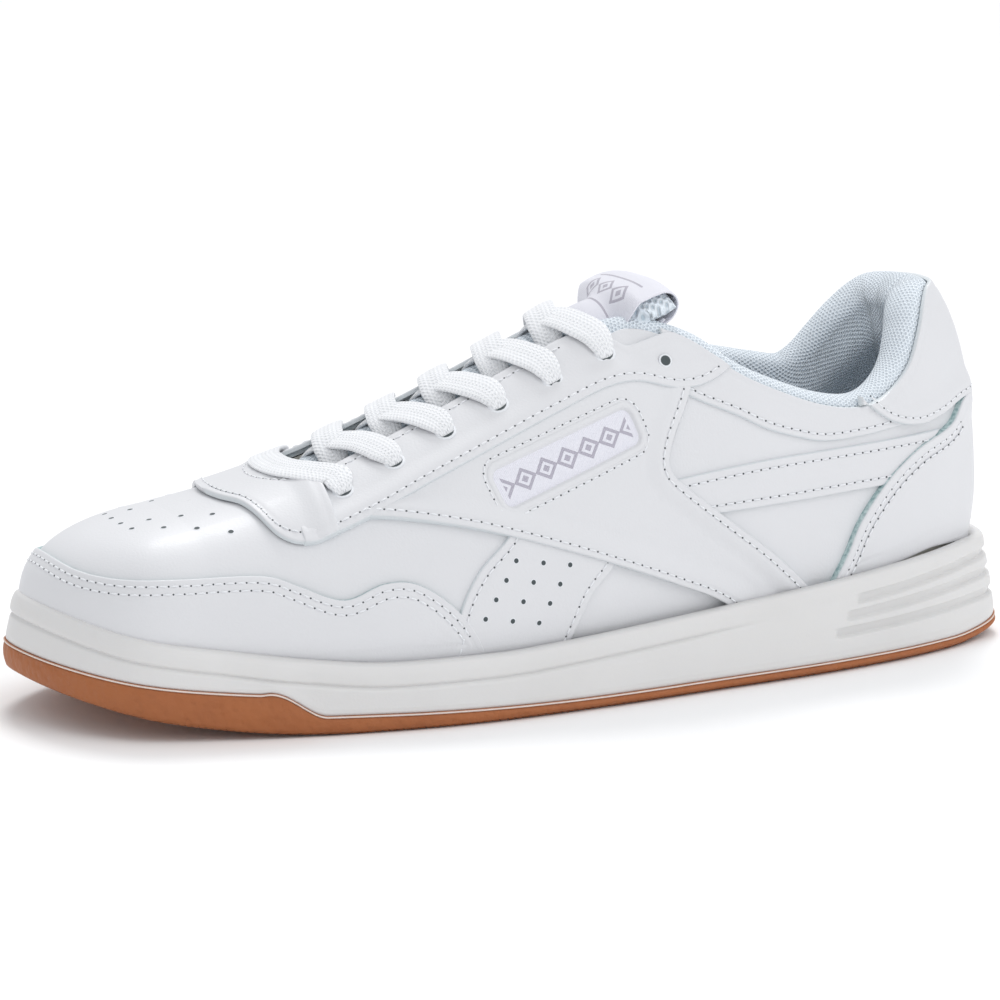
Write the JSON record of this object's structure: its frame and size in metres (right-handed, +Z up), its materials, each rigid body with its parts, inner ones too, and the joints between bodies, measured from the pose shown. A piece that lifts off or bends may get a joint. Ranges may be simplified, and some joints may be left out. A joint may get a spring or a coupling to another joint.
{
  "type": "court shoe",
  "caption": "Low-top left court shoe: stitched leather upper with padded collar and tongue, flat lace, white rubber cup sole and gum outsole.",
  "frame": {"origin": "on the floor, under the middle of the outsole's box", "axes": "-X towards the toe, -Y towards the outer side of the foot, +Z up"},
  "size_m": [0.3, 0.1047, 0.1181],
  "materials": {
    "gum_rubber": "moulded gum rubber, fine pebble on the side",
    "white_rubber": "satin moulded rubber",
    "eva_foam": "plain foam",
    "fibre_board": "stitched fibre board",
    "sockliner_foam": "foam with a knit top cloth",
    "stiffener": "thermoplastic sheet",
    "lining_mesh": "spacer mesh",
    "tongue_mesh": "spacer mesh",
    "white_leather": "smooth coated leather, stitched",
    "woven_label": "satin woven label",
    "lace_cotton": "flat woven lace",
    "aglet_film": "clear white film"
  },
  "bodies": {
    "shoe": {"outsole": "gum_rubber", "cupsole": "white_rubber", "midsole_foam": "eva_foam", "insole_board": "fibre_board", "sockliner": "sockliner_foam", "toe_puff": "stiffener", "heel_counter": "stiffener", "vamp_lining": "lining_mesh", "collar_lining": "lining_mesh", "collar_foam": "eva_foam", "vamp": "white_leather", "toe_guard": "white_leather", "throat_bridge": "white_leather", "heel_foxing": "white_leather", "heel_tab": "white_leather", "window_label": "woven_label", "quarter_outer": "white_leather", "eyestay_backing_outer": "stiffener", "eyestay_outer": "white_leather", "saddle_outer": "white_leather", "front_strap_outer": "white_leather", "rear_strap_outer": "white_leather", "collar_panel_outer": "white_leather", "quarter_inner": "white_leather", "eyestay_backing_inner": "stiffener", "eyestay_inner": "white_leather", "saddle_inner": "white_leather", "front_strap_inner": "white_leather", "rear_strap_inner": "white_leather", "collar_panel_inner": "white_leather", "tongue_face": "tongue_mesh", "tongue_foam": "eva_foam", "tongue_lining": "lining_mesh", "shoelace": "lace_cotton", "aglet_outer": "aglet_film", "aglet_inner": "aglet_film"},
    "tongue_top": {"tongue_top_face": "tongue_mesh", "tongue_top_foam": "eva_foam", "tongue_top_lining": "lining_mesh", "tongue_label": "woven_label"}
  },
  "joints": [
    {"name": "tongue_flex", "type": "hinge", "parent": "shoe", "child": "tongue_top", "pos_m": [0.019, 0, 0.1045], "axis": [0, 1, 0], "range_deg": [-35, 3], "stiffness_Nm_per_rad": 0.06}
  ]
}
